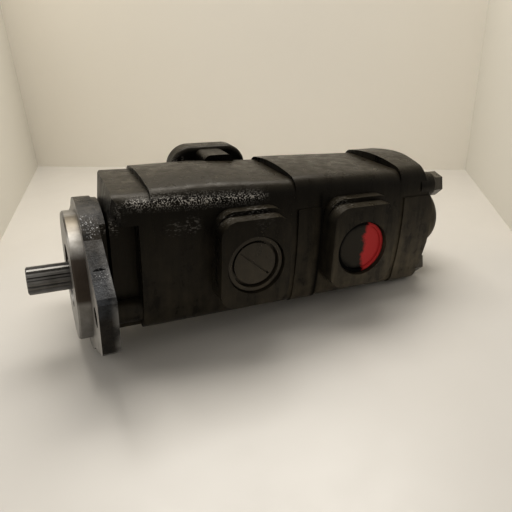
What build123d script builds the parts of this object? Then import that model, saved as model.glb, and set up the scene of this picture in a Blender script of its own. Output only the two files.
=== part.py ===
from build123d import *
import math
import os

os.makedirs("parts", exist_ok=True)

# Frame: origin at the centre of the mounting face, +X to the rear, -Y to the viewer, +Z up

# Mounting end
PILOT_R = 50.8
PILOT_H = 9.7
PILOT_CHAMFER = 1.2
HUB_R = 60.5
EAR_THICK = 12.4
EAR_TIP = 91.5
EAR_HALF = 21.0
EAR_CORNER = 3.0
EAR_BOLT_Y = 73.0
EAR_HOLE_R = 7.15
FLANK_START = 46.0
FLANK_TILT = 29.0
HUB_END = 17.0
DIMPLE_R = 5.2
SEAL_RECESS_R = 25.0
SEAL_RECESS_DEPTH = 3.0
SEAL_BORE_R = 22.5
SEAL_BORE_END = 6.3
RING_GROOVE_R = 23.9
RING_FRONT = -5.2
RING_BACK = -3.5

# Lengths along the pump
COVER_END = 48.0
FRONT_LENGTH = 115.0
PLATE_LENGTH = 25.0
REAR_LENGTH = 79.0
TAIL_LENGTH = 37.0
HOUSING_END = COVER_END + FRONT_LENGTH
PLATE_END = HOUSING_END + PLATE_LENGTH
REAR_HOUSING_END = PLATE_END + REAR_LENGTH
REAR_END = REAR_HOUSING_END + TAIL_LENGTH
RIM = 10.5
RIM_START = COVER_END - RIM
LOBE_FRONT = 15.0
LOBE_TOP_X = 22.0
LOBE_LOW_X = 17.5
POCKET_Y = 31.0
POCKET_TOP = 52.0

# Cross section of the casings
TOP_Z = 73.6
BOTTOM_Z = -37.0
MID_HALF = 48.8
MID_Z = 24.0
TOP_TAPER = 4.8
LOW_TAPER = 5.8
TOP_HALF = MID_HALF - TOP_TAPER
LOW_HALF = MID_HALF - LOW_TAPER
TOP_ROUND = 8.0
LOW_ROUND = 12.0
FLAT = 0.3
ARCH_COVER = 1.6
ARCH_FRONT = 4.0
ARCH_HIGH = 5.6
ARCH_PLATE = 4.4
ARCH_REAR = 3.4
ARCH_TAIL = 5.4
JOINT_DROP = 1.2
HIGH_X = COVER_END + 50.0
RAISED_TOP = 50.0
RAISE = 1.6

# Case bolts, washers and dowels
BOLT_EDGE = 7.5
BOLT_Y = TOP_HALF - BOLT_EDGE
BOLT_Z_TOP = TOP_Z - 17.1
BOLT_Z_LOW = BOTTOM_Z + 16.5
BOLT_R = 6.0
BOLT_HOLE_R = 6.4
BOLT_HEAD_AF = 19.0
BOLT_HEAD_H = 8.0
WASHER_R = 10.4
WASHER_T = 2.0
BOLT_BOSS_R = 11.2
SEAT_TOP_X = REAR_END + 0.8
SEAT_LOW_X = REAR_END - 6.0
BOLT_LENGTH = SEAT_TOP_X - COVER_END + 24.0
BOLT_LUG_R = 9.0
DOWEL_R = 3.0
DOWEL_Y = MID_HALF - 9.8
DOWEL_HALF = 6.0
TAIL_BOSS_R = 29.5
TAIL_BOSS_H = 32.0
TAIL_LEAN = 7.0
TAIL_BEVEL = 11.2
TAIL_FLAT_TOP = 39.0
TAIL_FLAT_LOW = 4.0
TAIL_BOSS_Z = 12.5
TAIL_BOSS_ROUND = 7.0

# Gears
TEETH = 12
MODULE = 3.25
PRESSURE = math.radians(25.0)
CENTRE = MODULE * TEETH
TIP_R = CENTRE / 2 + MODULE
ROOT_R = TIP_R - 2.292 * MODULE
BACKLASH = 0.09
CHAMBER_R = TIP_R + 0.3
JOURNAL_R = 11.0
RUN = 0.05
END_GAP = 0.3
OIL_BORE_R = 4.0

# Shaft line
PORT1_SETBACK = 42.2
PORT2_SETBACK = 49.5
PORT1_X = HOUSING_END - PORT1_SETBACK
PORT2_X = REAR_HOUSING_END - PORT2_SETBACK
FRONT_GEAR_W = 52.0
REAR_GEAR_W = 35.0
FRONT_GEAR = (PORT1_X - FRONT_GEAR_W / 2, PORT1_X + FRONT_GEAR_W / 2)
REAR_GEAR = (PORT2_X - 0.5 - REAR_GEAR_W / 2, PORT2_X - 0.5 + REAR_GEAR_W / 2)
CHAMBER_START = COVER_END + 18.0
WEB = 9.0
RECESS_FRONT = (HOUSING_END + PLATE_END - WEB) / 2
RECESS_REAR = (HOUSING_END + PLATE_END + WEB) / 2
BLOCK_SEAL_R = 21.0
BLOCK_SEAL_IN_R = 18.6
BLOCK_SEAL_T = 1.0
RELIEF_Y = 8.5
RELIEF_SIZE = (4.0, 7.0, 8.0)
SEAL_T = 1.6
SHAFT_R = 12.5
SHAFT_STEP = CHAMBER_START + 2.0
BUSHING_R = 16.0
BUSHING_START = COVER_END + 1.0
SPLINE_OD_R = 10.9
SPLINE_ROOT_R = 9.3
SPLINE_TEETH = 13
SPLINE_TIP_X = -40.5
SPLINE_END_X = -9.0
STUB_OD_R = 7.0
STUB_ROOT_R = 6.0
STUB_TEETH = 11
STUB_PLAY = 0.1
STUB_START = RECESS_FRONT - 20.0
STUB_END = RECESS_REAR + 19.0
REAR_JOURNAL_END = REAR_HOUSING_END - 5.0

# Outlet pads on the near side
PAD_FACE_Y = -68.0
LEDGE_Y = -56.0
PAD_Z = (-17.5, 54.0)
PAD_HALF = 28.8
PAD1_X = (PORT1_X - PAD_HALF, PORT1_X + PAD_HALF)
PAD2_X = (PORT2_X - PAD_HALF - 0.1, PORT2_X + PAD_HALF + 2.7)
PAD_ROUND = 13.0
LEDGE_ROUND = PAD_ROUND + 2.0
PAD_ROOT_Y = 4.0 - TOP_HALF
PORT_Z = 16.8
PORT_MOUTH_R = 23.6
PORT_THREAD_R = 20.3
PORT_BORE_R = 13.0
PORT_RECESS = 6.0
PORT_THREAD_DEPTH = 22.0
PORT_BORE_END_Y = -8.0
PLUG_DEPTH = 19.0
PLUG_WALL = 2.5
PLUG_PLAY = 1.2

# Inlet pad on the far side
INLET_X = PORT1_X + 5.8
INLET_Z = 33.0
INLET_FACE_Y = 74.0
INLET_THICK = 17.0
INLET_HALF_X = 36.4
INLET_HALF_Z = 49.5
INLET_ROUND = 20.0
INLET_BORE_R = 25.0
INLET_BORE_DEPTH = 30.0
INLET_THROAT_R = 20.0
INLET_BOLT_X = 42.9
INLET_BOLT_Z = 77.8
INLET_TAP_R = 5.1
INLET_NECK_X = 27.0


def across(x):
    return Plane(origin=(x, 0, 0), x_dir=(0, 1, 0), z_dir=(1, 0, 0))


def side_plane(y):
    return Plane(origin=(0, y, 0), x_dir=(1, 0, 0), z_dir=(0, -1, 0))


def casing_outline(x, arch, top=TOP_Z, grow=0.0):
    th = TOP_HALF + grow
    mh = MID_HALF + grow
    lh = LOW_HALF + grow
    lo = BOTTOM_Z
    with BuildSketch(across(x), mode=Mode.PRIVATE) as sk:
        with BuildLine():
            Line((-lh, lo), (lh, lo))
            ThreePointArc((lh, lo), (mh, MID_Z), (th, top))
            ThreePointArc((th, top), (0, top + arch), (-th, top))
            ThreePointArc((-th, top), (-mh, MID_Z), (-lh, lo))
        make_face()
        upper = sk.vertices().filter_by(lambda v: v.Z > MID_Z)
        lower = sk.vertices().filter_by(lambda v: v.Z < MID_Z)
        fillet(upper, TOP_ROUND)
        fillet(lower, LOW_ROUND)
    return sk.sketch


def casing_body(x0, x1, front_arch, rear_arch, top0=TOP_Z, top1=TOP_Z, grow=0.0):
    ends = [casing_outline(x0, front_arch, top0, grow), casing_outline(x1, rear_arch, top1, grow)]
    return loft(ends, ruled=True, mode=Mode.PRIVATE)


def rod(x0, x1, radius, y=0.0, z=0.0):
    body = Cylinder(radius, x1 - x0, align=(Align.CENTER, Align.CENTER, Align.MIN), mode=Mode.PRIVATE)
    return Pos(x0, y, z) * (Rot(0, 90, 0) * body)


def side_rod(y0, y1, radius, x, z):
    body = Cylinder(radius, y1 - y0, align=(Align.CENTER, Align.CENTER, Align.MIN), mode=Mode.PRIVATE)
    return Pos(x, y1, z) * (Rot(90, 0, 0) * body)


def block(cx, cy, cz, sx, sy, sz):
    return Pos(cx, cy, cz) * Box(sx, sy, sz, mode=Mode.PRIVATE)


def turned(steps):
    with BuildSketch(Plane.XZ, mode=Mode.PRIVATE) as sk:
        with BuildLine():
            Polyline(*([(steps[0][0], 0)] + steps + [(steps[-1][0], 0)]), close=True)
        make_face()
    return revolve(sk.sketch, Axis.X, mode=Mode.PRIVATE)


def bolt_centres():
    return [(sy * BOLT_Y, z) for z in (BOLT_Z_TOP, BOLT_Z_LOW) for sy in (-1, 1)]


def seat_of(z):
    return SEAT_TOP_X if z > 0 else SEAT_LOW_X


def bolt_holes(x0, x1, radius=BOLT_HOLE_R):
    return [rod(x0, x1, radius, y, z) for y, z in bolt_centres()]


def dowel_holes(*joints):
    return [rod(x - DOWEL_HALF - 0.4, x + DOWEL_HALF + 0.4, DOWEL_R, sy * DOWEL_Y, CENTRE / 2)
            for x in joints for sy in (-1, 1)]


def twin_bore(x0, x1, radius):
    return [rod(x0, x1, radius), rod(x0, x1, radius, 0, CENTRE)]


def involute_points(base, r0, r1, half_at_pitch, steps=6):
    pitch = MODULE * TEETH / 2
    inv_pitch = math.tan(PRESSURE) - PRESSURE
    pts = []
    for i in range(steps + 1):
        r = max(r0, base) + (r1 - max(r0, base)) * i / steps
        a = math.acos(min(1.0, base / r))
        half = half_at_pitch + inv_pitch - (math.tan(a) - a)
        pts.append((r, half))
    return pts


def gear_face(plane, turn):
    pitch = MODULE * TEETH / 2
    base = pitch * math.cos(PRESSURE)
    half_at_pitch = math.pi / (2 * TEETH) - BACKLASH / pitch
    flank = involute_points(base, ROOT_R, TIP_R, half_at_pitch)
    step = 2 * math.pi / TEETH
    pts = []
    for k in range(TEETH):
        mid = turn + k * step
        root_half = flank[0][1]
        pts.append((ROOT_R, mid - root_half))
        for r, half in flank:
            pts.append((r, mid - half))
        pts.append((TIP_R, mid))
        for r, half in reversed(flank):
            pts.append((r, mid + half))
        pts.append((ROOT_R, mid + root_half))
        pts.append((ROOT_R, mid + step / 2))
    xy = [(r * math.cos(a), r * math.sin(a)) for r, a in pts]
    with BuildSketch(plane, mode=Mode.PRIVATE) as sk:
        with BuildLine():
            Polyline(*xy, close=True)
        make_face()
    return sk.sketch


def gear_blank(span, z, turn):
    plane = Plane(origin=(span[0], 0, z), x_dir=(0, 1, 0), z_dir=(1, 0, 0))
    return extrude(gear_face(plane, turn), span[1] - span[0], mode=Mode.PRIVATE)


def spline_body(x0, x1, tip, root, teeth):
    plane = across(x0)
    step = 2 * math.pi / teeth
    pts = []
    for k in range(teeth):
        mid = k * step
        pts.append((root, mid - step * 0.34))
        pts.append((tip, mid - step * 0.17))
        pts.append((tip, mid + step * 0.17))
        pts.append((root, mid + step * 0.34))
    xy = [(r * math.cos(a), r * math.sin(a)) for r, a in pts]
    with BuildSketch(plane, mode=Mode.PRIVATE) as sk:
        with BuildLine():
            Polyline(*xy, close=True)
        make_face()
    return extrude(sk.sketch, x1 - x0, mode=Mode.PRIVATE)


def pad_block(x0, x1, z0, z1, y_face, radius):
    with BuildSketch(side_plane(y_face), mode=Mode.PRIVATE) as sk:
        with Locations(((x0 + x1) / 2, (z0 + z1) / 2)):
            RectangleRounded(x1 - x0, z1 - z0, radius)
    return extrude(sk.sketch, y_face - PAD_ROOT_Y, mode=Mode.PRIVATE)


def block_body(x0, x1):
    return rod(x0, x1, CHAMBER_R) + rod(x0, x1, CHAMBER_R, 0, CENTRE)


def ring(x0, x1, outer, inner, y=0.0, z=0.0):
    return rod(x0, x1, outer, y, z) - rod(x0, x1, inner, y, z)


def seal_loop(x0, depth, offset, section):
    with BuildSketch(across(x0), mode=Mode.PRIVATE) as sk:
        with Locations((0, CENTRE / 2)):
            SlotCenterToCenter(CENTRE, 2 * (CHAMBER_R + offset + section), rotation=90)
            SlotCenterToCenter(CENTRE, 2 * (CHAMBER_R + offset), rotation=90, mode=Mode.SUBTRACT)
    return extrude(sk.sketch, depth, mode=Mode.PRIVATE)


def figure_eight(x0, depth, outer, inner):
    body = rod(x0, x0 + depth, outer) + rod(x0, x0 + depth, outer, 0, CENTRE)
    body = body - rod(x0 - 1, x0 + depth + 1, inner)
    return body - rod(x0 - 1, x0 + depth + 1, inner, 0, CENTRE)


# Reach of a cutting shape that has to pass the whole section
WIDE = 2 * MID_HALF + TOP_Z


def below(x0, x1, z):
    cut = Box(x1 - x0, WIDE, WIDE, align=(Align.MIN, Align.CENTER, Align.MAX), mode=Mode.PRIVATE)
    return Pos(x0, 0, z) * cut


def prism(plane, points, half):
    with BuildSketch(plane, mode=Mode.PRIVATE) as sk:
        with BuildLine():
            Polyline(*points, close=True)
        make_face()
    return extrude(sk.sketch, half, both=True, mode=Mode.PRIVATE)


# Bore of the mounting cover: seal recess, seal seat, ring groove and shaft clearance
SEAL_SEAT_X = -PILOT_H + SEAL_RECESS_DEPTH
SEAL_BORE_STEPS = [(-PILOT_H - 1, SEAL_RECESS_R), (SEAL_SEAT_X, SEAL_RECESS_R),
                   (SEAL_SEAT_X, SEAL_BORE_R), (RING_FRONT, SEAL_BORE_R), (RING_FRONT, RING_GROOVE_R),
                   (RING_BACK, RING_GROOVE_R), (RING_BACK, SEAL_BORE_R), (SEAL_BORE_END, SEAL_BORE_R),
                   (SEAL_BORE_END, SHAFT_R + 1.5), (COVER_END + 1, SHAFT_R + 1.5)]


def flange_points():
    a = math.radians(FLANK_START)
    ty = HUB_R * math.cos(a)
    tz = HUB_R * math.sin(a)
    quarter = [(ty, tz), (EAR_TIP - EAR_CORNER, EAR_HALF), (EAR_TIP, EAR_HALF - EAR_CORNER)]
    lower = [(y, -z) for y, z in reversed(quarter)]
    right = quarter + lower
    left = [(-y, z) for y, z in reversed(right)]
    return right + left


# Mounting cover
with BuildPart() as mounting_cover:
    with BuildSketch(across(0)) as flange:
        Circle(HUB_R)
        with BuildLine():
            Polyline(*flange_points(), close=True)
        make_face()
    extrude(amount=EAR_THICK)
    add(rod(0, HUB_END, HUB_R - 1.5))
    add(rod(-PILOT_H, 0, PILOT_R))
    pilot_rim = mounting_cover.edges().filter_by(GeomType.CIRCLE).sort_by(Axis.X)[:1]
    chamfer(pilot_rim, PILOT_CHAMFER)
    lobe = casing_body(LOBE_FRONT, COVER_END, ARCH_COVER, ARCH_COVER, TOP_Z - 1.0, TOP_Z - 1.8)
    front_lean = [(LOBE_LOW_X, BOTTOM_Z - 9), (COVER_END, BOTTOM_Z - 9), (COVER_END, TOP_Z + 9),
                  (LOBE_TOP_X + 2, TOP_Z + 9), (LOBE_LOW_X, POCKET_TOP)]
    near_corner = [(0, -14), (LOBE_LOW_X, -14), (LOBE_LOW_X + 2.5, -TOP_HALF + 6),
                   (LOBE_LOW_X + 9.5, -MID_HALF + 1), (LOBE_LOW_X + 14, -MID_HALF - 5), (COVER_END, -MID_HALF - 5)]
    far_corner = [(COVER_END, MID_HALF + 5), (LOBE_LOW_X + 15, MID_HALF + 5), (LOBE_LOW_X + 11, MID_HALF - 1),
                  (LOBE_LOW_X + 7.5, TOP_HALF - 6), (LOBE_LOW_X, 10), (0, 10)]
    lobe = lobe & prism(Plane.XZ, front_lean, WIDE)
    lobe = lobe & prism(Plane.XY, near_corner + far_corner, WIDE)
    add(lobe)
    pocket_x = (EAR_THICK + RIM_START) / 2
    pocket_len = RIM_START - EAR_THICK
    for sy in (-1, 1):
        add(block(pocket_x, sy * (POCKET_Y + WIDE / 2), POCKET_TOP - WIDE / 2, pocket_len, WIDE, WIDE),
            mode=Mode.SUBTRACT)
    for sy in (-1, 1):
        add(rod(EAR_THICK - 2, RIM_START + 1, BOLT_LUG_R, sy * (BOLT_Y - 1.0), BOLT_Z_LOW))
    for sy in (-1, 1):
        add(rod(-1, EAR_THICK + 1, EAR_HOLE_R, sy * EAR_BOLT_Y, 0), mode=Mode.SUBTRACT)
        dimple = Cone(DIMPLE_R - 2.2, DIMPLE_R, 3.4, mode=Mode.PRIVATE)
        add(Pos(5.8, sy * 69.0, 28.4) * (Rot(-sy * FLANK_TILT, 0, 0) * dimple), mode=Mode.SUBTRACT)
    add(turned(SEAL_BORE_STEPS), mode=Mode.SUBTRACT)
    for y, z in bolt_centres():
        add(rod(seat_of(z) - BOLT_LENGTH - 1.5, COVER_END + 1, BOLT_R, y, z), mode=Mode.SUBTRACT)
    add(seal_loop(COVER_END - SEAL_T, 2 * SEAL_T, 2.0, 2.6), mode=Mode.SUBTRACT)
    for hole in dowel_holes(COVER_END):
        add(hole, mode=Mode.SUBTRACT)
mounting_cover.part.label = "mounting_cover"
export_step(mounting_cover.part, "parts/mounting_cover.step")

# Shaft seal and its retaining ring
with BuildPart() as shaft_seal:
    add(ring(RING_BACK, SEAL_BORE_END, SEAL_BORE_R, SHAFT_R + RUN))
    add(ring(RING_BACK - 1, SEAL_BORE_END - 1.7, SEAL_BORE_R - 2.3, SHAFT_R + 2.7), mode=Mode.SUBTRACT)
shaft_seal.part.label = "shaft_seal"
export_step(shaft_seal.part, "parts/shaft_seal.step")

RING_IN_R = SEAL_BORE_R - 1.9
RING_MID = (RING_FRONT + RING_BACK) / 2
with BuildPart() as seal_ring:
    add(ring(RING_FRONT, RING_BACK - 0.1, RING_GROOVE_R - 0.1, RING_IN_R))
    add(block(RING_MID, 0, -RING_IN_R - 1.4, 4, 9, 9), mode=Mode.SUBTRACT)
    for sy in (-1, 1):
        add(rod(RING_FRONT, RING_BACK - 0.1, 2.4, sy * 6.6, 0.2 - RING_IN_R))
        add(rod(RING_FRONT - 1, RING_BACK + 1, 1.0, sy * 6.6, 0.4 - RING_IN_R), mode=Mode.SUBTRACT)
seal_ring.part.label = "seal_retaining_ring"
export_step(seal_ring.part, "parts/seal_retaining_ring.step")

# Drive shaft with the front drive gear
with BuildPart() as drive_shaft:
    add(spline_body(SPLINE_TIP_X, SPLINE_END_X, SPLINE_OD_R, SPLINE_ROOT_R, SPLINE_TEETH))
    cone = Cone(SPLINE_ROOT_R + 0.4, SPLINE_OD_R + 1.4, 2.0, align=(Align.CENTER, Align.CENTER, Align.MIN),
                mode=Mode.PRIVATE)
    tip_cone = Pos(SPLINE_TIP_X, 0, 0) * (Rot(0, 90, 0) * cone)
    tip_zone = rod(SPLINE_TIP_X - 1, SPLINE_TIP_X + 2.0, 2 * SPLINE_OD_R) - tip_cone
    add(tip_zone, mode=Mode.SUBTRACT)
    add(rod(SPLINE_END_X, SHAFT_STEP, SHAFT_R))
    add(rod(SHAFT_STEP, RECESS_FRONT - 0.6, JOURNAL_R))
    add(gear_blank(FRONT_GEAR, 0, 0.0))
    socket = spline_body(STUB_START - 1, RECESS_FRONT, STUB_OD_R + STUB_PLAY, STUB_ROOT_R + STUB_PLAY, STUB_TEETH)
    add(socket, mode=Mode.SUBTRACT)
drive_shaft.part.label = "drive_shaft"
export_step(drive_shaft.part, "parts/drive_shaft.step")

# Front idler gear
HALF_PITCH = math.pi / 2 + math.pi / TEETH
with BuildPart() as front_idler:
    add(rod(SHAFT_STEP + 4, RECESS_FRONT - 0.6, JOURNAL_R, 0, CENTRE))
    add(gear_blank(FRONT_GEAR, CENTRE, HALF_PITCH))
    add(rod(SHAFT_STEP + 3, RECESS_FRONT, OIL_BORE_R, 0, CENTRE), mode=Mode.SUBTRACT)
front_idler.part.label = "front_idler_gear"
export_step(front_idler.part, "parts/front_idler_gear.step")

# Coupling stub between the two drive gears
with BuildPart() as coupling:
    add(spline_body(STUB_START, STUB_END, STUB_OD_R, STUB_ROOT_R, STUB_TEETH))
coupling.part.label = "coupling_stub"
export_step(coupling.part, "parts/coupling_stub.step")

# Rear drive gear
with BuildPart() as rear_drive:
    add(rod(RECESS_REAR + 0.6, REAR_JOURNAL_END, JOURNAL_R))
    add(gear_blank(REAR_GEAR, 0, 0.0))
    socket = spline_body(RECESS_REAR, STUB_END + 0.4, STUB_OD_R + STUB_PLAY, STUB_ROOT_R + STUB_PLAY, STUB_TEETH)
    add(socket, mode=Mode.SUBTRACT)
rear_drive.part.label = "rear_drive_gear"
export_step(rear_drive.part, "parts/rear_drive_gear.step")

with BuildPart() as rear_idler:
    add(rod(RECESS_REAR + 0.6, REAR_JOURNAL_END, JOURNAL_R, 0, CENTRE))
    add(gear_blank(REAR_GEAR, CENTRE, HALF_PITCH))
    add(rod(RECESS_REAR, REAR_JOURNAL_END + 1, OIL_BORE_R, 0, CENTRE), mode=Mode.SUBTRACT)
rear_idler.part.label = "rear_idler_gear"
export_step(rear_idler.part, "parts/rear_idler_gear.step")

# Bearing blocks: name, front end, rear end, face that carries the pressure seal, side of the gears
BLOCKS = [("front_bearing_block_fore", CHAMBER_START, FRONT_GEAR[0] - END_GAP, CHAMBER_START, 1),
          ("front_bearing_block_aft", FRONT_GEAR[1] + END_GAP, RECESS_FRONT, RECESS_FRONT, -1),
          ("rear_bearing_block_fore", RECESS_REAR, REAR_GEAR[0] - END_GAP, RECESS_REAR, 1),
          ("rear_bearing_block_aft", REAR_GEAR[1] + END_GAP, REAR_HOUSING_END, REAR_HOUSING_END, -1)]
for block_name, x0, x1, seal_face, gear_side in BLOCKS:
    gear_face_x = x1 if gear_side > 0 else x0
    bore_from = x0 - 1
    bore_to = x1 + 1
    if block_name == "front_bearing_block_fore":
        bore_from = SHAFT_STEP
    if block_name == "rear_bearing_block_aft":
        bore_to = REAR_JOURNAL_END + 1.5
    with BuildPart() as bearing_block:
        add(block_body(x0, x1))
        for z in (0, CENTRE):
            add(rod(bore_from, bore_to, JOURNAL_R + RUN, 0, z), mode=Mode.SUBTRACT)
        if block_name == "front_bearing_block_fore":
            add(rod(x0 - 1, SHAFT_STEP + 0.3, SHAFT_R + 0.4), mode=Mode.SUBTRACT)
        add(figure_eight(seal_face - BLOCK_SEAL_T, 2 * BLOCK_SEAL_T, BLOCK_SEAL_R, BLOCK_SEAL_IN_R),
            mode=Mode.SUBTRACT)
        for sy in (-1, 1):
            add(block(gear_face_x, sy * RELIEF_Y, CENTRE / 2, *RELIEF_SIZE), mode=Mode.SUBTRACT)
    bearing_block.part.label = block_name
    export_step(bearing_block.part, "parts/" + block_name + ".step")

# Pressure seals of the four blocks
with BuildPart() as block_seals:
    for seal_x in (CHAMBER_START, RECESS_FRONT - BLOCK_SEAL_T, RECESS_REAR, REAR_HOUSING_END - BLOCK_SEAL_T):
        add(figure_eight(seal_x, BLOCK_SEAL_T, BLOCK_SEAL_R, BLOCK_SEAL_IN_R))
block_seals.part.label = "block_pressure_seals"
export_step(block_seals.part, "parts/block_pressure_seals.step")

# Section seals at the four joints of the casing
SECTION_SEALS = [("front_cover_seal", COVER_END), ("front_section_seal", HOUSING_END),
                 ("rear_section_seal", PLATE_END), ("rear_cover_seal", REAR_HOUSING_END)]
for seal_name, joint_x in SECTION_SEALS:
    with BuildPart() as section_seal:
        add(seal_loop(joint_x - SEAL_T, SEAL_T, 2.0, 2.6))
    section_seal.part.label = seal_name
    export_step(section_seal.part, "parts/" + seal_name + ".step")

# Front shaft bushing
with BuildPart() as bushing:
    add(ring(BUSHING_START, CHAMBER_START, BUSHING_R, SHAFT_R + RUN))
bushing.part.label = "shaft_bushing"
export_step(bushing.part, "parts/shaft_bushing.step")


def outlet_cuts(port_x):
    return [side_rod(PAD_FACE_Y - 1, PAD_FACE_Y + PORT_RECESS, PORT_MOUTH_R, port_x, PORT_Z),
            side_rod(PAD_FACE_Y - 1, PAD_FACE_Y + PORT_THREAD_DEPTH, PORT_THREAD_R, port_x, PORT_Z),
            side_rod(PAD_FACE_Y - 1, PORT_BORE_END_Y, PORT_BORE_R, port_x, PORT_Z)]


def inlet_pad():
    with BuildSketch(side_plane(INLET_FACE_Y - INLET_THICK), mode=Mode.PRIVATE) as sk:
        with Locations((INLET_X, INLET_Z)):
            RectangleRounded(2 * INLET_HALF_X, 2 * INLET_HALF_Z, INLET_ROUND)
    pad = extrude(sk.sketch, -INLET_THICK, mode=Mode.PRIVATE)
    back_rim = pad.edges().group_by(Axis.Y)[0]
    pad = pad.fillet(4.0, back_rim)
    low_neck = block(INLET_X - 1, 52, INLET_Z - 4, 58, 40, 70)
    mid = (INLET_FACE_Y - INLET_THICK + TOP_HALF) / 2
    high = block(INLET_X, mid, INLET_Z + 10, INLET_NECK_X, INLET_FACE_Y - INLET_THICK - TOP_HALF + 26, 74)
    neck_rims = high.edges().filter_by(Axis.Y)
    high = high.fillet(6.0, neck_rims)
    return pad + low_neck + high


# Front gear housing
with BuildPart() as front_housing:
    sections = [casing_outline(COVER_END, ARCH_FRONT), casing_outline(HIGH_X, ARCH_HIGH),
                casing_outline(HOUSING_END, FLAT, TOP_Z - JOINT_DROP)]
    add(loft(sections, ruled=True, mode=Mode.PRIVATE))
    add(pad_block(PAD1_X[0] + 0.6, PAD1_X[1] + 2.0, PAD_Z[0] - 2, PAD_Z[1] + 3.4, LEDGE_Y, LEDGE_ROUND))
    add(pad_block(PAD1_X[0], PAD1_X[1], PAD_Z[0], PAD_Z[1], PAD_FACE_Y, PAD_ROUND))
    add(inlet_pad())
    add(side_rod(INLET_FACE_Y - INLET_BORE_DEPTH, INLET_FACE_Y + 1, INLET_BORE_R, INLET_X, INLET_Z),
        mode=Mode.SUBTRACT)
    add(side_rod(CHAMBER_R + 5, INLET_FACE_Y - 8, INLET_THROAT_R, INLET_X, INLET_Z - 3), mode=Mode.SUBTRACT)
    add(side_rod(15, CHAMBER_R + 9, INLET_THROAT_R - 7, INLET_X, CENTRE / 2), mode=Mode.SUBTRACT)
    for sx in (-1, 1):
        for sz in (-1, 1):
            hx = INLET_X + sx * INLET_BOLT_X / 2
            hz = INLET_Z + sz * INLET_BOLT_Z / 2
            add(side_rod(INLET_FACE_Y - 14, INLET_FACE_Y + 1, INLET_TAP_R, hx, hz), mode=Mode.SUBTRACT)
    for hole in bolt_holes(COVER_END - 1, HOUSING_END + 1) + dowel_holes(COVER_END, HOUSING_END):
        add(hole, mode=Mode.SUBTRACT)
    for bore in twin_bore(CHAMBER_START, HOUSING_END + 1, CHAMBER_R):
        add(bore, mode=Mode.SUBTRACT)
    add(rod(COVER_END - 1, CHAMBER_START + 1, BUSHING_R), mode=Mode.SUBTRACT)
    for cut in outlet_cuts(PORT1_X):
        add(cut, mode=Mode.SUBTRACT)
    add(seal_loop(HOUSING_END - SEAL_T, 2 * SEAL_T, 2.0, 2.6), mode=Mode.SUBTRACT)
front_housing.part.label = "front_gear_housing"
export_step(front_housing.part, "parts/front_gear_housing.step")

# Centre plate
with BuildPart() as centre_plate:
    add(casing_body(HOUSING_END, PLATE_END, ARCH_PLATE, ARCH_REAR))
    wide = casing_body(HOUSING_END + 2, PLATE_END, FLAT, FLAT, grow=RAISE)
    add(wide & below(HOUSING_END, PLATE_END, RAISED_TOP))
    for hole in bolt_holes(HOUSING_END - 1, PLATE_END + 1) + dowel_holes(HOUSING_END, PLATE_END):
        add(hole, mode=Mode.SUBTRACT)
    for bore in twin_bore(HOUSING_END - 1, RECESS_FRONT, CHAMBER_R):
        add(bore, mode=Mode.SUBTRACT)
    for bore in twin_bore(RECESS_REAR, PLATE_END + 1, CHAMBER_R):
        add(bore, mode=Mode.SUBTRACT)
    add(rod(RECESS_FRONT - 1, RECESS_REAR + 1, STUB_OD_R + 2), mode=Mode.SUBTRACT)
    add(seal_loop(PLATE_END - SEAL_T, 2 * SEAL_T, 2.0, 2.6), mode=Mode.SUBTRACT)
centre_plate.part.label = "centre_plate"
export_step(centre_plate.part, "parts/centre_plate.step")

# Rear gear housing
with BuildPart() as rear_housing:
    add(casing_body(PLATE_END, REAR_HOUSING_END, ARCH_REAR, FLAT, TOP_Z, TOP_Z - JOINT_DROP))
    add(pad_block(PAD2_X[0] + 0.4, PAD2_X[1] + 3.0, PAD_Z[0] - 1, PAD_Z[1] + 3.6, LEDGE_Y, LEDGE_ROUND))
    add(pad_block(PAD2_X[0], PAD2_X[1], PAD_Z[0] + 1, PAD_Z[1], PAD_FACE_Y, PAD_ROUND))
    for hole in bolt_holes(PLATE_END - 1, REAR_HOUSING_END + 1) + dowel_holes(PLATE_END, REAR_HOUSING_END):
        add(hole, mode=Mode.SUBTRACT)
    for bore in twin_bore(PLATE_END - 1, REAR_HOUSING_END + 1, CHAMBER_R):
        add(bore, mode=Mode.SUBTRACT)
    for cut in outlet_cuts(PORT2_X):
        add(cut, mode=Mode.SUBTRACT)
    add(seal_loop(REAR_HOUSING_END - SEAL_T, 2 * SEAL_T, 2.0, 2.6), mode=Mode.SUBTRACT)
rear_housing.part.label = "rear_gear_housing"
export_step(rear_housing.part, "parts/rear_gear_housing.step")

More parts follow.
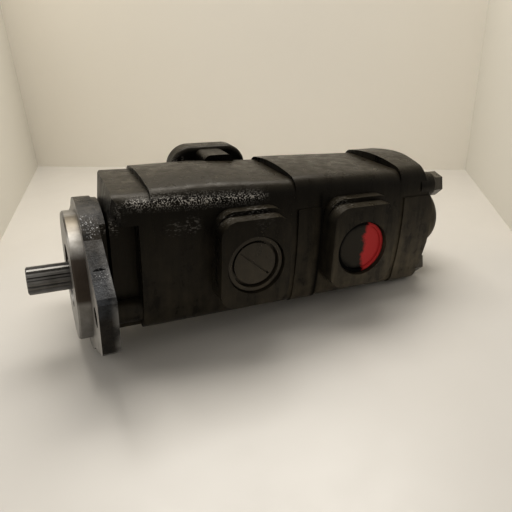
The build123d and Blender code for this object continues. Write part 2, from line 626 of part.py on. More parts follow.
# Rear cover
with BuildPart() as rear_cover:
    tail = casing_body(REAR_HOUSING_END, REAR_END, ARCH_TAIL, ARCH_TAIL)
    tail_side = [(REAR_HOUSING_END, BOTTOM_Z - 9), (REAR_END - TAIL_LEAN, BOTTOM_Z - 9), (REAR_END, TAIL_FLAT_LOW),
                 (REAR_END, TAIL_FLAT_TOP), (REAR_END - TAIL_LEAN, TOP_Z), (REAR_END - TAIL_LEAN, TOP_Z + 9),
                 (REAR_HOUSING_END, TOP_Z + 9)]
    add(tail & prism(Plane.XZ, tail_side, WIDE))
    raised = casing_body(REAR_HOUSING_END + 4, REAR_END, FLAT, FLAT, grow=RAISE)
    add(raised & below(REAR_HOUSING_END, REAR_END, RAISED_TOP) & prism(Plane.XZ, tail_side, WIDE))
    for sy in (-1, 1):
        corner = Plane(origin=(REAR_END - TAIL_BEVEL, sy * TOP_HALF, TOP_Z - 1.6), z_dir=(0.926, sy * 0.171, 0.335))
        cut = Box(WIDE, WIDE, WIDE, align=(Align.CENTER, Align.CENTER, Align.MIN), mode=Mode.PRIVATE)
        add(corner * cut, mode=Mode.SUBTRACT)
    back_boss = rod(REAR_END - 4, REAR_END + TAIL_BOSS_H, TAIL_BOSS_R, 0, TAIL_BOSS_Z)
    boss_rim = back_boss.edges().filter_by(GeomType.CIRCLE).sort_by(Axis.X)[-1:]
    add(back_boss.fillet(TAIL_BOSS_ROUND, boss_rim))
    for y, z in bolt_centres():
        add(rod(REAR_END - 14, seat_of(z), BOLT_BOSS_R, y, z))
    for hole in dowel_holes(REAR_HOUSING_END):
        add(hole, mode=Mode.SUBTRACT)
    for y, z in bolt_centres():
        add(rod(REAR_HOUSING_END - 1, REAR_END + 3, BOLT_HOLE_R, y, z), mode=Mode.SUBTRACT)
        add(rod(seat_of(z), REAR_END + 3, BOLT_BOSS_R, y, z), mode=Mode.SUBTRACT)
rear_cover.part.label = "rear_cover"
export_step(rear_cover.part, "parts/rear_cover.step")

# Case bolts and washers
bolts = []
washers = []
for y, z in bolt_centres():
    seat_x = seat_of(z)
    head_x = seat_x + WASHER_T
    with BuildPart() as one_bolt:
        add(rod(seat_x - BOLT_LENGTH, head_x + 4.0, BOLT_R, y, z))
        with BuildSketch(Plane(origin=(head_x, y, z), x_dir=(0, 1, 0), z_dir=(1, 0, 0))):
            RegularPolygon(BOLT_HEAD_AF / 2, 6, major_radius=False, rotation=15)
        extrude(amount=BOLT_HEAD_H)
        add(rod(head_x + BOLT_HEAD_H - 2.0, head_x + BOLT_HEAD_H + 0.6, 0.45 * BOLT_HEAD_AF, y, z))
    bolts.append(one_bolt.part)
    washers.append(ring(seat_x, head_x, WASHER_R, BOLT_R + 0.2, y, z))

case_bolts = Compound(label="case_bolts", children=[b.solid() for b in bolts])
export_step(case_bolts, "parts/case_bolts.step")
bolt_washers = Compound(label="bolt_washers", children=[w.solid() for w in washers])
export_step(bolt_washers, "parts/bolt_washers.step")


# Port plugs: head in the recess, hollow body in the thread
PLUG_Y = PAD_FACE_Y + PORT_RECESS
PLUG_END_Y = PAD_FACE_Y + PLUG_DEPTH
PLUG_HEAD_R = PORT_MOUTH_R - PLUG_PLAY
PLUG_HOLLOW_R = PORT_THREAD_R - PLUG_WALL


def plug_steps(x):
    slot = Rot(0, 40, 0) * Box(31, 3.0, 1.6, mode=Mode.PRIVATE)
    return [(side_rod(PLUG_Y - 3.4, PLUG_Y, PLUG_HEAD_R, x, PORT_Z), Mode.ADD),
            (side_rod(PLUG_Y - 0.1, PLUG_END_Y, PORT_THREAD_R, x, PORT_Z), Mode.ADD),
            (side_rod(PLUG_Y - 4, PLUG_Y + 2.0, PORT_THREAD_R - 0.8, x, PORT_Z), Mode.SUBTRACT),
            (side_rod(PLUG_Y - 2.0, PLUG_Y + 2.2, PORT_THREAD_R - 3.2, x, PORT_Z), Mode.ADD),
            (Pos(x, PLUG_Y - 1.6, PORT_Z) * slot, Mode.SUBTRACT),
            (side_rod(PLUG_Y + 5, PLUG_END_Y + 1, PLUG_HOLLOW_R, x, PORT_Z), Mode.SUBTRACT)]


with BuildPart() as front_plug:
    for shape, how in plug_steps(PORT1_X):
        add(shape, mode=how)
front_plug.part.label = "front_port_plug"
export_step(front_plug.part, "parts/front_port_plug.step")

# Rear plug: painted rim over a red cap
with BuildPart() as rear_plug:
    add(side_rod(PLUG_Y - 3.0, PLUG_Y, PLUG_HEAD_R, PORT2_X, PORT_Z))
    add(side_rod(PLUG_Y - 4, PLUG_Y + 1, PORT_THREAD_R - 0.4, PORT2_X, PORT_Z), mode=Mode.SUBTRACT)
rear_plug.part.label = "rear_port_seal"
export_step(rear_plug.part, "parts/rear_port_seal.step")

with BuildPart() as red_cap:
    add(side_rod(PLUG_Y - 1.2, PLUG_Y + 1.5, PORT_THREAD_R - 0.5, PORT2_X, PORT_Z))
    add(side_rod(PLUG_Y + 1.4, PLUG_END_Y, PORT_THREAD_R, PORT2_X, PORT_Z))
    add(side_rod(PLUG_Y + 4, PLUG_END_Y + 1, PLUG_HOLLOW_R, PORT2_X, PORT_Z), mode=Mode.SUBTRACT)
red_cap.part.label = "rear_port_plug"
export_step(red_cap.part, "parts/rear_port_plug.step")

# Dowel pins between the casing sections
pins = []
for pin_x in (COVER_END, HOUSING_END, PLATE_END, REAR_HOUSING_END):
    for sy in (-1, 1):
        pins.append(rod(pin_x - DOWEL_HALF, pin_x + DOWEL_HALF, DOWEL_R, sy * DOWEL_Y, CENTRE / 2))
dowel_pins = Compound(label="dowel_pins", children=[p.solid() for p in pins])
export_step(dowel_pins, "parts/dowel_pins.step")
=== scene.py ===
import math

import bpy
from mathutils import Matrix, Vector

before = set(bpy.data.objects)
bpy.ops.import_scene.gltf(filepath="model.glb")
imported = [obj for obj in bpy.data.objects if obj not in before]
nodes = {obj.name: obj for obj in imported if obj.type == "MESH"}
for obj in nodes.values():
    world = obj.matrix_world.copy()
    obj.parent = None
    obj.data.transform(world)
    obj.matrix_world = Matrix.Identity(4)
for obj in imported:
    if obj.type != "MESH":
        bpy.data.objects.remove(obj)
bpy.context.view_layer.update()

# Camera as solved from the photograph
PHOTO_PX = 512.0
FOCAL_PX = 506.85
SENSOR_MM = 36.0
CAM_NEAR = 0.01
CAM_AT = Vector((-0.0281, -0.3845, 0.1783))
CAM_RIGHT = Vector((0.9115, -0.4101, 0.0313))
CAM_UP = Vector((0.1388, 0.3784, 0.9152))
CAM_BACK = Vector((-0.3872, -0.8298, 0.4018))

# The pump lies on the foot of its flange and on its rear end
FLOOR_SLOPE = 0.0823
FLOOR_AT = Vector((0.0124, 0.0, -0.0605))
FLOOR_N = Vector((-FLOOR_SLOPE, 0.0, 1.0)).normalized()

# Painted highlights: glints painted into the colour of the wet paint along a line, with its reach, and
# painted glare patches as centre, reach and power
WET_START = (0.026, -0.0435, 0.0679)
WET_END = (0.126, -0.0457, 0.0643)
WET_REACH = 0.0042
WET_CORE = 0.55
WET_FADE = 0.014
PAINTED_GLARE = [
    ((0.063, -0.0488, 0.0465), 0.008, 0.09),
    ((0.077, -0.0488, 0.0482), 0.008, 0.14),
    ((0.018, -0.051, 0.064), 0.012, 0.5),
    ((0.0195, -0.036, 0.048), 0.009, 0.7),
    ((0.104, -0.056, 0.051), 0.012, 0.16),
    ((0.126, -0.056, 0.052), 0.014, 0.22),
    ((0.202, -0.056, 0.052), 0.012, 0.14),
    ((0.098, 0.062, 0.062), 0.014, 0.5),
]
GLINT_SCALE = 1000.0
GLINT_SOFT = 0.05
PAINTED_GLINT_TONE = (0.6, 0.57, 0.52, 1.0)
PATCH_CORE = 0.35
BAND_LEVEL = 0.54
STREAK_LEVEL = 0.56
STREAK_SCALE = (0.35, 1.0, 1.0)

# Casing paint: runs down the sides, lighter towards the rear, painted bounce light from the floor low on
# the sides and a painted dark reflection under the shoulder, gloss, dust and relief
RUN_SCALE = (1.0, 1.0, 0.16)
RUN_SHARE = 0.65
PATCH_SHARE = 0.35
PAINT_DARK = 0.36
PAINT_PALE = 0.62
REAR_RAMP_START = 0.12
REAR_RAMP_END = 0.27
BOUNCE_LIGHT_FOOT = -0.04
DARK_REFLECTION_SHOULDER = 0.06
REAR_GAIN = 4.0
BOUNCE_LIGHT_GAIN = 2.8
DARK_REFLECTION_GAIN = 0.1
DUST_SIDE = 0.35
DUST_TOP = 0.95
DUST_WARM = 0.24
DUST_THIN = 0.55
GLOSSY = 0.22
DULL = 0.44
WET_ROUGH = 0.2
PAINT_SHEEN = (1.0, 0.9, 0.75, 1.0)
PEBBLE_RELIEF = 0.6
GRAIN_RELIEF = 0.3
RUN_RELIEF = 2.2
DRY_RELIEF = 0.35
WET_RELIEF = 1.6
PAINT_DEPTH = 0.0009
PAINT_BUMP = 0.8

# Painted shade in the joint of the casing: a dark line up to the rounded shoulder
JOINT_X = 0.1866
JOINT_HALF = 0.0009
JOINT_SOFT = 0.0008
JOINT_TOP = 0.064
JOINT_FADE = 0.006
JOINT_SHADE_TONE = 0.0004

# Mounting cover: all ahead of this x is machined
MACHINED_BACK = 0.0004

# Rim of the flange: colours by height with painted light, lighter on top, bluish where the flank of the ear
# is lit and brown-black in painted shade below; a painted highlight along the rear edge of the ears;
# clusters of painted glints as centre and reach
FLANGE_BACK = 0.0173
HUB_RIM = 0.0565
RIM_SHIFT = 0.07
RIM_SWAY = 0.012
RIM_EDGE = 0.012
RIM_EDGE_SOFT = 0.0008
EAR_ROOT = 0.044
EAR_FADE = 0.004
RIM_LIGHT_ZONES = [
    (-0.06, (0.012, 0.009, 0.006, 1.0)),
    (0.012, (0.014, 0.011, 0.008, 1.0)),
    (0.018, (0.022, 0.024, 0.027, 1.0)),
    (0.036, (0.034, 0.036, 0.04, 1.0)),
    (0.041, (0.019, 0.0152, 0.0105, 1.0)),
    (0.05, (0.019, 0.0152, 0.0108, 1.0)),
    (0.056, (0.025, 0.02, 0.0142, 1.0)),
    (0.064, (0.046, 0.04, 0.031, 1.0)),
]
RIM_GLINT_SPOTS = [
    ((0.003, -0.0293, 0.0529), 0.009),
    ((0.0077, -0.0366, 0.0482), 0.008),
    ((0.016, -0.036, 0.049), 0.007),
    ((0.0075, -0.068, 0.024), 0.009),
]
RIM_SPOT_LEVEL = 0.615
RIM_GLINT_TONE = 0.7
EDGE_HIGHLIGHT_TONE = 0.16
EDGE_HIGHLIGHT_WARM = 0.03
RIM_SPEC = 0.12
RIM_DEPTH = 0.0009
RIM_BUMP = 0.5

# Near side of the pilot: a band of painted dark reflection as height and share, and above it a painted
# highlight band that turns darker and browner on top, as height, gain and warmth
PILOT_SWAY = 0.004
SIDE_START = 0.02
SIDE_FULL = 0.15
DARK_REFLECTION_TONE = (0.035, 0.024, 0.016, 1.0)
DARK_REFLECTION_BAND = [(0.001, 0.0), (0.004, 0.92), (0.031, 0.92), (0.037, 0.0)]
HIGHLIGHT_BAND = [(0.033, 0.9, 0.0), (0.038, 2.3, 0.0), (0.0445, 2.3, 0.0), (0.0475, 0.42, 0.12)]

# Bare metal, and the mottled surfaces: rubber, bronze, ring steel and floor
METALLIC = 0.95
METAL_DEPTH = 0.0003
STAIN_SCALE = 60.0
MOTTLED_DEPTH = 0.0002
MOTTLED_BUMP = 0.12
CLOUD_SHARE = 0.2

# Torn paint film on the plug of the second outlet, and painted shade in a dark ring around the film
TORN_X = 0.2215
TORN_SWAY = 0.014
TORN_SOFT = 0.0004
RED_CENTRE = (0.2175, 0.0, 0.0168)
RED_REACH = 0.0236
RED_SWAY = 0.006
RED_TONE = (0.46, 0.034, 0.034, 1.0)
FILM_REACH = 0.0195
FILM_SWAY = 0.007
FILM_SOFT = 0.0008
RECESS_SHADE_TONE = 0.0008
PLASTIC_ROUGH = 0.4

# Colour sockets of the mix node
MIX_FIRST = 6
MIX_SECOND = 7
MIX_RESULT = 2


def on_floor(x, y):
    z = FLOOR_AT.z + FLOOR_SLOPE * (x - FLOOR_AT.x)
    return Vector((x, y, z))


def tree_of(name):
    mat = bpy.data.materials.new(name)
    mat.use_nodes = True
    nt = mat.node_tree
    return mat, nt, nt.nodes["Principled BSDF"]


def tone(v, warm=0.0):
    """A grey of brightness v, pushed towards brown by warm."""
    return (v * (1 + warm), v, v * (1 - 1.6 * warm), 1.0)


OFF = tone(0.0)
FULL = tone(1.0)


def feed(nt, socket, value):
    """Gives a socket a fixed value, or links it to another socket."""
    if isinstance(value, (int, float, tuple)):
        socket.default_value = value
    else:
        nt.links.new(value, socket)


def coords(nt):
    node = nt.nodes.new("ShaderNodeTexCoord")
    return node.outputs["Object"]


def xyz(nt, vector):
    node = nt.nodes.new("ShaderNodeSeparateXYZ")
    nt.links.new(vector, node.inputs[0])
    return node.outputs["X"], node.outputs["Y"], node.outputs["Z"]


def surface_normal(nt):
    node = nt.nodes.new("ShaderNodeNewGeometry")
    return xyz(nt, node.outputs["True Normal"])


def noise(nt, vector, scale, detail=4.0, rough=0.55):
    node = nt.nodes.new("ShaderNodeTexNoise")
    node.inputs["Scale"].default_value = scale
    node.inputs["Detail"].default_value = detail
    node.inputs["Roughness"].default_value = rough
    nt.links.new(vector, node.inputs["Vector"])
    return node.outputs["Fac"]


def ramp(nt, source, stops):
    """Turns a value into a colour. The stops are pairs of value and colour in rising order."""
    node = nt.nodes.new("ShaderNodeValToRGB")
    elements = node.color_ramp.elements
    for index in (0, -1):
        position, colour = stops[index]
        elements[index].position = position
        elements[index].color = colour
    for position, colour in stops[1:-1]:
        elements.new(position).color = colour
    nt.links.new(source, node.inputs["Fac"])
    return node.outputs["Color"]


def math_node(nt, operation, left, right=0.0):
    node = nt.nodes.new("ShaderNodeMath")
    node.operation = operation
    feed(nt, node.inputs[0], left)
    feed(nt, node.inputs[1], right)
    return node.outputs[0]


def plus(nt, left, right):
    return math_node(nt, "ADD", left, right)


def times(nt, left, right):
    return math_node(nt, "MULTIPLY", left, right)


def vector_node(nt, operation, left, right):
    node = nt.nodes.new("ShaderNodeVectorMath")
    node.operation = operation
    feed(nt, node.inputs[0], left)
    feed(nt, node.inputs[1], right)
    return node.outputs["Value"] if operation == "DISTANCE" else node.outputs["Vector"]


def length(nt, vector):
    node = nt.nodes.new("ShaderNodeVectorMath")
    node.operation = "LENGTH"
    nt.links.new(vector, node.inputs[0])
    return node.outputs["Value"]


def mix_colour(nt, factor, first, second):
    node = nt.nodes.new("ShaderNodeMix")
    node.data_type = "RGBA"
    nt.links.new(factor, node.inputs["Factor"])
    feed(nt, node.inputs[MIX_FIRST], first)
    feed(nt, node.inputs[MIX_SECOND], second)
    return node.outputs[MIX_RESULT]


def bump(nt, bsdf, height, strength, distance):
    node = nt.nodes.new("ShaderNodeBump")
    node.inputs["Strength"].default_value = strength
    node.inputs["Distance"].default_value = distance
    nt.links.new(height, node.inputs["Height"])
    nt.links.new(node.outputs["Normal"], bsdf.inputs["Normal"])


def fade_in(nt, value, start, end):
    return ramp(nt, value, [(start, OFF), (end, FULL)])


def fade_out(nt, value, start, end):
    return ramp(nt, value, [(start, FULL), (end, OFF)])


def painted_glints(nt, where, level):
    """Painted highlights: small bright spots in the colour, where thick paint or bare iron would catch the
    light.
    """
    painted_spots = noise(nt, where, GLINT_SCALE, detail=2.0, rough=0.5)
    return fade_in(nt, painted_spots, level, level + GLINT_SOFT)


def blob(nt, where, centre, reach):
    """A soft round patch."""
    return fade_out(nt, vector_node(nt, "DISTANCE", where, centre), reach * PATCH_CORE, reach)


def wet_band(nt, where):
    """The line along the near top edge of the front of the casing, where the thick wet paint has painted
    highlights.
    Gives the mask of the band, and the mask of the painted glints in it and in the painted glare patches."""
    along = tuple((Vector(WET_END) - Vector(WET_START)).normalized())
    across = vector_node(nt, "CROSS_PRODUCT", vector_node(nt, "SUBTRACT", where, WET_START), along)
    near = fade_out(nt, length(nt, across), WET_REACH * WET_CORE, WET_REACH)
    x = xyz(nt, where)[0]
    begun = fade_in(nt, x, WET_START[0], WET_START[0] + WET_FADE)
    unfinished = fade_out(nt, x, WET_END[0], WET_END[0] + WET_FADE)
    band = times(nt, near, times(nt, begun, unfinished))
    # Painted highlights: glints in the band, then painted glare patches
    painted_glint = times(nt, band, painted_glints(nt, where, BAND_LEVEL))
    streaks = painted_glints(nt, vector_node(nt, "MULTIPLY", where, STREAK_SCALE), STREAK_LEVEL)
    for centre, reach, power in PAINTED_GLARE:
        patch = times(nt, blob(nt, where, centre, reach), streaks)
        painted_glint = math_node(nt, "MAXIMUM", painted_glint, times(nt, patch, power))
    return band, painted_glint


def casing_paint(name, dark, dust, spec, graded=True):
    """Thick semi-gloss paint with runs down its sides and a little dust on top.
    Graded paint is lighter towards the rear, with painted bounce light from the floor low on the sides and
    a painted dark reflection under the shoulder."""
    mat, nt, bsdf = tree_of(name)
    where = coords(nt)
    x, _, z = xyz(nt, where)
    runs = noise(nt, vector_node(nt, "MULTIPLY", where, RUN_SCALE), scale=95.0, detail=3.0)
    cloud = noise(nt, where, scale=34.0, detail=5.0, rough=0.62)
    patch = noise(nt, where, scale=110.0, rough=0.6)
    pebble = noise(nt, where, scale=420.0, rough=0.62)
    grain = noise(nt, where, scale=1100.0, detail=3.0, rough=0.6)
    wet, painted_glint = wet_band(nt, where)
    uneven = plus(nt, times(nt, patch, PATCH_SHARE), times(nt, runs, RUN_SHARE))
    pale = (PAINT_PALE, tone(dark * 1.9, 0.2))
    colour = ramp(nt, uneven, [(PAINT_DARK, tone(dark * 0.35, 0.1)), pale])
    if graded:
        # Painted light: colour raised low on the sides as bounce light from the floor, lowered under the
        # shoulder as a dark reflection, and lighter towards the rear
        over_foot = math_node(nt, "SUBTRACT", z, BOUNCE_LIGHT_FOOT)
        shoulder = (DARK_REFLECTION_SHOULDER - BOUNCE_LIGHT_FOOT, tone(DARK_REFLECTION_GAIN))
        painted_bounce_and_reflection = ramp(nt, over_foot, [(0.0, tone(BOUNCE_LIGHT_GAIN)), shoulder])
        rearward = ramp(nt, x, [(REAR_RAMP_START, FULL), (REAR_RAMP_END, tone(REAR_GAIN))])
        colour = vector_node(nt, "MULTIPLY", colour, times(nt, painted_bounce_and_reflection, rearward))
    upward = fade_in(nt, surface_normal(nt)[2], DUST_SIDE, DUST_TOP)
    dry = math_node(nt, "SUBTRACT", 1.0, wet)
    drifts = ramp(nt, cloud, [(0.25, tone(DUST_THIN)), (0.75, FULL)])
    dusty = times(nt, times(nt, upward, dry), drifts)
    colour = mix_colour(nt, dusty, colour, tone(dust, DUST_WARM))
    # Painted shade of the joint: a dark line across the casing, which is also made rough
    off_joint = math_node(nt, "ABSOLUTE", math_node(nt, "SUBTRACT", x, JOINT_X))
    joint_shade = times(nt, fade_out(nt, off_joint, JOINT_HALF, JOINT_HALF + JOINT_SOFT),
                  fade_out(nt, z, JOINT_TOP - JOINT_FADE, JOINT_TOP))
    colour = mix_colour(nt, joint_shade, colour, tone(JOINT_SHADE_TONE))
    # Painted highlights: the glints of the wet band and the glare patches mixed into the colour
    colour = mix_colour(nt, painted_glint, colour, PAINTED_GLINT_TONE)
    rough = ramp(nt, uneven, [(PAINT_DARK, tone(GLOSSY)), (PAINT_PALE, tone(DULL))])
    rough = mix_colour(nt, joint_shade, rough, FULL)
    rough = mix_colour(nt, wet, rough, tone(WET_ROUGH))
    height = plus(nt, times(nt, pebble, PEBBLE_RELIEF), times(nt, grain, GRAIN_RELIEF))
    height = plus(nt, height, times(nt, runs, RUN_RELIEF))
    relief = plus(nt, times(nt, wet, WET_RELIEF), DRY_RELIEF)
    nt.links.new(colour, bsdf.inputs["Base Color"])
    nt.links.new(rough, bsdf.inputs["Roughness"])
    bsdf.inputs["Specular IOR Level"].default_value = spec
    bsdf.inputs["Specular Tint"].default_value = PAINT_SHEEN
    bump(nt, bsdf, times(nt, height, relief), PAINT_BUMP, PAINT_DEPTH)
    return mat


def worn_casting_and_painted_light(name):
    """Thin paint over iron on the rim of the flange, mottled, with painted light by height: brown-grey and
    lighter on top, bluish where the flank of the ear is lit, brown-black in painted shade below, with
    painted glints in clusters and a painted highlight along the rear edge of the ears."""
    mat, nt, bsdf = tree_of(name)
    where = coords(nt)
    x, y, z = xyz(nt, where)
    cloud = noise(nt, where, scale=75.0, detail=5.0, rough=0.65)
    pits = noise(nt, where, scale=480.0, detail=5.0, rough=0.68)
    # Painted light by height: lighter on top, bluish on the lit flank of the ear, painted shade below
    level = plus(nt, plus(nt, z, times(nt, cloud, RIM_SWAY)), RIM_SHIFT)
    painted_light_zones = ramp(nt, level, [(height + RIM_SHIFT, colour) for height, colour in RIM_LIGHT_ZONES])
    mottle = ramp(nt, cloud, [(0.4, tone(0.2)), (0.6, tone(1.1))])
    colour = vector_node(nt, "MULTIPLY", painted_light_zones, mottle)
    # Painted highlight: a lighter, broken line along the rear edge of the ears
    rear_edge = fade_in(nt, x, RIM_EDGE - RIM_EDGE_SOFT, RIM_EDGE)
    on_ear = fade_in(nt, math_node(nt, "ABSOLUTE", y), EAR_ROOT, EAR_ROOT + EAR_FADE)
    edge_highlight = times(nt, times(nt, rear_edge, on_ear), mottle)
    colour = mix_colour(nt, edge_highlight, colour, tone(EDGE_HIGHLIGHT_TONE, EDGE_HIGHLIGHT_WARM))
    # Painted highlights: clusters of bright glint spots in the colour
    painted_spots = painted_glints(nt, where, RIM_SPOT_LEVEL)
    for centre, reach in RIM_GLINT_SPOTS:
        cluster = times(nt, blob(nt, where, centre, reach), painted_spots)
        colour = mix_colour(nt, cluster, colour, tone(RIM_GLINT_TONE))
    nt.links.new(colour, bsdf.inputs["Base Color"])
    nt.links.new(ramp(nt, pits, [(0.4, tone(0.26)), (0.62, tone(0.5))]), bsdf.inputs["Roughness"])
    bsdf.inputs["Specular IOR Level"].default_value = RIM_SPEC
    bump(nt, bsdf, pits, RIM_BUMP, RIM_DEPTH)
    return mat


def pilot_painted_light(nt, where, cloud, colour):
    """Painted light on the near side of the pilot: a band of painted dark reflection at mid height, and a
    painted highlight band above it.
    """
    outward = fade_in(nt, times(nt, surface_normal(nt)[1], -1.0), SIDE_START, SIDE_FULL)
    height = plus(nt, times(nt, cloud, PILOT_SWAY), xyz(nt, where)[2])
    # Painted dark reflection at mid height, painted highlight above it
    dark_reflection = ramp(nt, height, [(z, tone(share)) for z, share in DARK_REFLECTION_BAND])
    painted_highlight = ramp(nt, height, [(z, tone(gain, warm)) for z, gain, warm in HIGHLIGHT_BAND])
    colour = mix_colour(nt, outward, colour, vector_node(nt, "MULTIPLY", colour, painted_highlight))
    return mix_colour(nt, times(nt, dark_reflection, outward), colour, DARK_REFLECTION_TONE)


def metal(name, base, rough, grain, scale=300.0, stain=0.75, painted_bands=False):
    mat, nt, bsdf = tree_of(name)
    where = coords(nt)
    cloud = noise(nt, where, STAIN_SCALE, rough=0.6)
    fine = noise(nt, where, scale, detail=3.0, rough=0.6)
    colour = ramp(nt, cloud, [(0.3, tone(base * stain, 0.06)), (0.7, tone(base * 1.15, 0.03))])
    if painted_bands:
        colour = pilot_painted_light(nt, where, cloud, colour)
    nt.links.new(colour, bsdf.inputs["Base Color"])
    bsdf.inputs["Metallic"].default_value = METALLIC
    bsdf.inputs["Roughness"].default_value = rough
    bump(nt, bsdf, fine, grain, METAL_DEPTH)
    return mat


def mottled(name, colour, rough, metallic, scale, fade):
    """A colour that fades to a share of itself in soft clouds, with a fine grain."""
    mat, nt, bsdf = tree_of(name)
    where = coords(nt)
    cloud = noise(nt, where, scale * CLOUD_SHARE)
    fine = noise(nt, where, scale)
    faded = tuple(c * fade for c in colour[:3]) + (1.0,)
    nt.links.new(ramp(nt, cloud, [(0.35, faded), (0.65, colour)]), bsdf.inputs["Base Color"])
    grainy = ramp(nt, fine, [(0.3, tone(rough * 0.85)), (0.7, tone(rough * 1.15))])
    nt.links.new(grainy, bsdf.inputs["Roughness"])
    bsdf.inputs["Metallic"].default_value = metallic
    bump(nt, bsdf, fine, MOTTLED_BUMP, MOTTLED_DEPTH)
    return mat


def red_plug(name, film, spec):
    """Red plastic with the black paint film torn off its rear half, and painted shade in a dark ring around
    the film.
    """
    mat, nt, bsdf = tree_of(name)
    where = coords(nt)
    edge = noise(nt, where, scale=130.0, detail=5.0, rough=0.66)
    sway = plus(nt, times(nt, edge, TORN_SWAY), xyz(nt, where)[0])
    line = TORN_X + TORN_SWAY / 2
    torn = fade_in(nt, sway, line, line + TORN_SOFT)
    flat = vector_node(nt, "MULTIPLY", where, (1.0, 0.0, 1.0))
    radius = vector_node(nt, "DISTANCE", flat, RED_CENTRE)
    ragged = plus(nt, times(nt, edge, RED_SWAY), radius)
    inner = fade_out(nt, ragged, RED_REACH, RED_REACH + TORN_SOFT)
    film_edge = plus(nt, times(nt, edge, FILM_SWAY), radius)
    # Painted shade: a dark ring around the film
    recess_shade = (FILM_REACH + FILM_SOFT, tone(RECESS_SHADE_TONE))
    film_tone = ramp(nt, film_edge, [(FILM_REACH, tone(film, 0.15)), recess_shade])
    colour = mix_colour(nt, times(nt, torn, inner), film_tone, RED_TONE)
    nt.links.new(colour, bsdf.inputs["Base Color"])
    bsdf.inputs["Roughness"].default_value = PLASTIC_ROUGH
    bsdf.inputs["Specular IOR Level"].default_value = spec
    return mat


def one_sided_card(name, colour, rough=0.8):
    """Seen from the pump's side alone, so a wall never stands in front of the pump."""
    mat, nt, bsdf = tree_of(name)
    bsdf.inputs["Base Color"].default_value = colour
    bsdf.inputs["Roughness"].default_value = rough
    clear = nt.nodes.new("ShaderNodeBsdfTransparent")
    side = nt.nodes.new("ShaderNodeNewGeometry")
    both = nt.nodes.new("ShaderNodeMixShader")
    nt.links.new(side.outputs["Backfacing"], both.inputs["Fac"])
    nt.links.new(bsdf.outputs["BSDF"], both.inputs[1])
    nt.links.new(clear.outputs["BSDF"], both.inputs[2])
    nt.links.new(both.outputs["Shader"], nt.nodes["Material Output"].inputs["Surface"])
    return mat


# Materials
black_paint = casing_paint("black paint", dark=0.006, dust=0.0155, spec=0.115)
worn_rim_and_painted_light = worn_casting_and_painted_light("worn casting and painted light")
machined = metal("machined face", 0.27, rough=0.42, grain=0.3, scale=260.0, stain=0.6, painted_bands=True)
shaft_steel = metal("shaft steel", 0.15, rough=0.36, grain=0.4, scale=420.0, stain=0.5)
gear_steel = metal("gear steel", 0.4, rough=0.28, grain=0.1)
block_metal = metal("bearing block", 0.7, rough=0.35, grain=0.1)
bronze = mottled("bronze", (0.5, 0.33, 0.14, 1.0), rough=0.35, metallic=0.9, scale=300.0, fade=0.7)
rubber = mottled("rubber", (0.022, 0.021, 0.02, 1.0), rough=0.6, metallic=0.0, scale=500.0, fade=0.6)
ring_steel = mottled("ring steel", (0.17, 0.165, 0.16, 1.0), rough=0.4, metallic=0.8, scale=300.0,
                     fade=0.65)
bolt_paint = casing_paint("bolt paint", dark=0.02, dust=0.03, spec=0.5, graded=False)
plug_black = casing_paint("plug black", dark=0.01, dust=0.02, spec=0.3)
red_mat = red_plug("red plug under paint", film=0.022, spec=0.06)
seal_mat = red_plug("torn seal", film=0.001, spec=0.02)
floor_paint = mottled("floor card", (0.62, 0.592, 0.545, 1.0), rough=0.36, metallic=0.0, scale=30.0,
                      fade=0.965)
wall_paint = one_sided_card("wall card", (0.92, 0.88, 0.8, 1.0))
# The side walls are the wall card's white made darker: painted shade
shaded_wall_paint = one_sided_card("side wall card in painted shade", (0.66, 0.635, 0.57, 1.0))

LOOKS = {
    "mounting_cover": black_paint,
    "front_gear_housing": black_paint,
    "centre_plate": black_paint,
    "rear_gear_housing": black_paint,
    "rear_cover": black_paint,
    "case_bolts": bolt_paint,
    "bolt_washers": bolt_paint,
    "dowel_pins": gear_steel,
    "shaft_seal": rubber,
    "seal_retaining_ring": ring_steel,
    "shaft_bushing": bronze,
    "front_bearing_block_fore": block_metal,
    "front_bearing_block_aft": block_metal,
    "rear_bearing_block_fore": block_metal,
    "rear_bearing_block_aft": block_metal,
    "block_pressure_seals": rubber,
    "front_cover_seal": rubber,
    "front_section_seal": rubber,
    "rear_section_seal": rubber,
    "rear_cover_seal": rubber,
    "front_port_plug": plug_black,
    "rear_port_seal": seal_mat,
    "rear_port_plug": red_mat,
    "drive_shaft": shaft_steel,
    "coupling_stub": gear_steel,
    "rear_drive_gear": gear_steel,
    "front_idler_gear": gear_steel,
    "rear_idler_gear": gear_steel,
}
for name, mat in LOOKS.items():
    materials = nodes[name].data.materials
    materials.clear()
    materials.append(mat)

# Mounting cover: bright machined pilot and mounting face, worn rim of the flange with painted light
PAINTED_SLOT = 0
MACHINED_SLOT = 1
RIM_SLOT = 2
cover = nodes["mounting_cover"].data
cover.materials.append(machined)
cover.materials.append(worn_rim_and_painted_light)
for poly in cover.polygons:
    c = poly.center
    if c.x < MACHINED_BACK:
        poly.material_index = MACHINED_SLOT
    elif math.hypot(c.y, c.z) > HUB_RIM and c.x < FLANGE_BACK:
        poly.material_index = RIM_SLOT
    else:
        poly.material_index = PAINTED_SLOT

# Floor and the pale box around the pump
CENTRE = Vector((0.14, 0.0, 0.0))
FLOOR_HALF = 3.0
WALL_HEIGHT = 0.6
LEFT_LENGTH = 0.45
RIGHT_LENGTH = 0.3
WALL_UP = FLOOR_N * WALL_HEIGHT
BACK_LEFT = on_floor(-0.009, 0.635)
BACK_RIGHT = on_floor(0.611, 0.204)
LEFT_RUN = (on_floor(-0.11, 0.05) - BACK_LEFT).normalized() * LEFT_LENGTH
RIGHT_RUN = (on_floor(0.44, -0.06) - BACK_RIGHT).normalized() * RIGHT_LENGTH


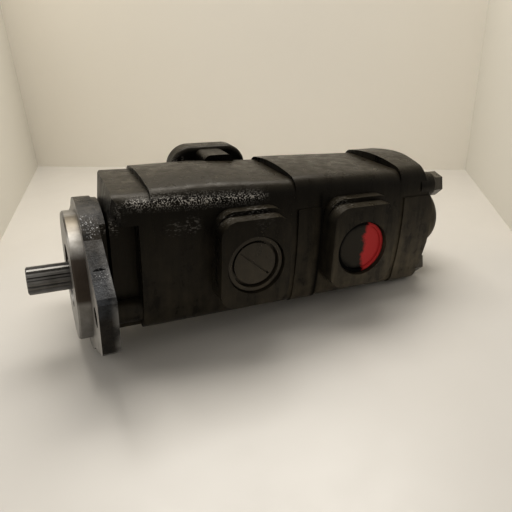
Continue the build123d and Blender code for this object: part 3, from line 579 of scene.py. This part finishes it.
def sheet(name, corners, mat):
    """A card whose front is turned to the pump."""
    middle = sum(corners, Vector()) / len(corners)
    normal = (corners[1] - corners[0]).cross(corners[2] - corners[1])
    if normal.dot(CENTRE - middle) < 0:
        corners = corners[::-1]
    mesh = bpy.data.meshes.new(name)
    mesh.from_pydata([tuple(c) for c in corners], [], [tuple(range(len(corners)))])
    mesh.materials.append(mat)
    obj = bpy.data.objects.new(name, mesh)
    bpy.context.collection.objects.link(obj)


def wall(name, start, end, mat):
    sheet(name, [start, end, end + WALL_UP, start + WALL_UP], mat)


FLOOR_SIGNS = ((-1, -1), (1, -1), (1, 1), (-1, 1))
sheet("floor", [on_floor(i * FLOOR_HALF, j * FLOOR_HALF) for i, j in FLOOR_SIGNS], floor_paint)
wall("back wall", BACK_LEFT, BACK_RIGHT, wall_paint)
wall("left wall", BACK_LEFT + LEFT_RUN, BACK_LEFT, shaded_wall_paint)
wall("right wall", BACK_RIGHT, BACK_RIGHT + RIGHT_RUN, shaded_wall_paint)


def area(name, at, size_x, size_y, power, colour):
    """A rectangular lamp that points at the pump."""
    data = bpy.data.lights.new(name, "AREA")
    data.shape = "RECTANGLE"
    data.size = size_x
    data.size_y = size_y
    data.energy = power
    data.color = colour
    obj = bpy.data.objects.new(name, data)
    bpy.context.collection.objects.link(obj)
    obj.location = at
    obj.rotation_mode = "QUATERNION"
    obj.rotation_quaternion = (CENTRE - Vector(at)).to_track_quat("-Z", "Y")


# Lamps
area("ceiling light", (0.22, 0.36, 0.9), size_x=0.9, size_y=0.5, power=11.0, colour=(1.0, 0.965, 0.91))
area("left light", (-0.6, -0.1, 0.5), size_x=0.4, size_y=0.4, power=0.6, colour=(1.0, 0.97, 0.93))

# How bright the room lights the pump, and how bright it looks to the camera and in reflections
ROOM_LIGHT = 0.41
ROOM_SEEN = 0.56
ROOM_TONE = (1.0, 0.96, 0.9, 1.0)
world = bpy.data.worlds.new("room")
bpy.context.scene.world = world
world.use_nodes = True
room = world.node_tree
background = room.nodes["Background"]
background.inputs["Color"].default_value = ROOM_TONE
ray = room.nodes.new("ShaderNodeLightPath")
seen_or_mirrored = math_node(room, "MAXIMUM", ray.outputs["Is Camera Ray"], ray.outputs["Is Glossy Ray"])
strength = plus(room, times(room, seen_or_mirrored, ROOM_SEEN - ROOM_LIGHT), ROOM_LIGHT)
room.links.new(strength, background.inputs["Strength"])

# Camera
cam_data = bpy.data.cameras.new("camera")
cam_data.sensor_width = SENSOR_MM
cam_data.lens = FOCAL_PX / PHOTO_PX * SENSOR_MM
cam_data.clip_start = CAM_NEAR
cam = bpy.data.objects.new("camera", cam_data)
bpy.context.collection.objects.link(cam)
turn = Matrix((CAM_RIGHT, CAM_UP, CAM_BACK)).transposed()
cam.matrix_world = Matrix.Translation(CAM_AT) @ turn.to_4x4()
bpy.context.scene.camera = cam
bpy.context.scene.view_settings.view_transform = "Standard"
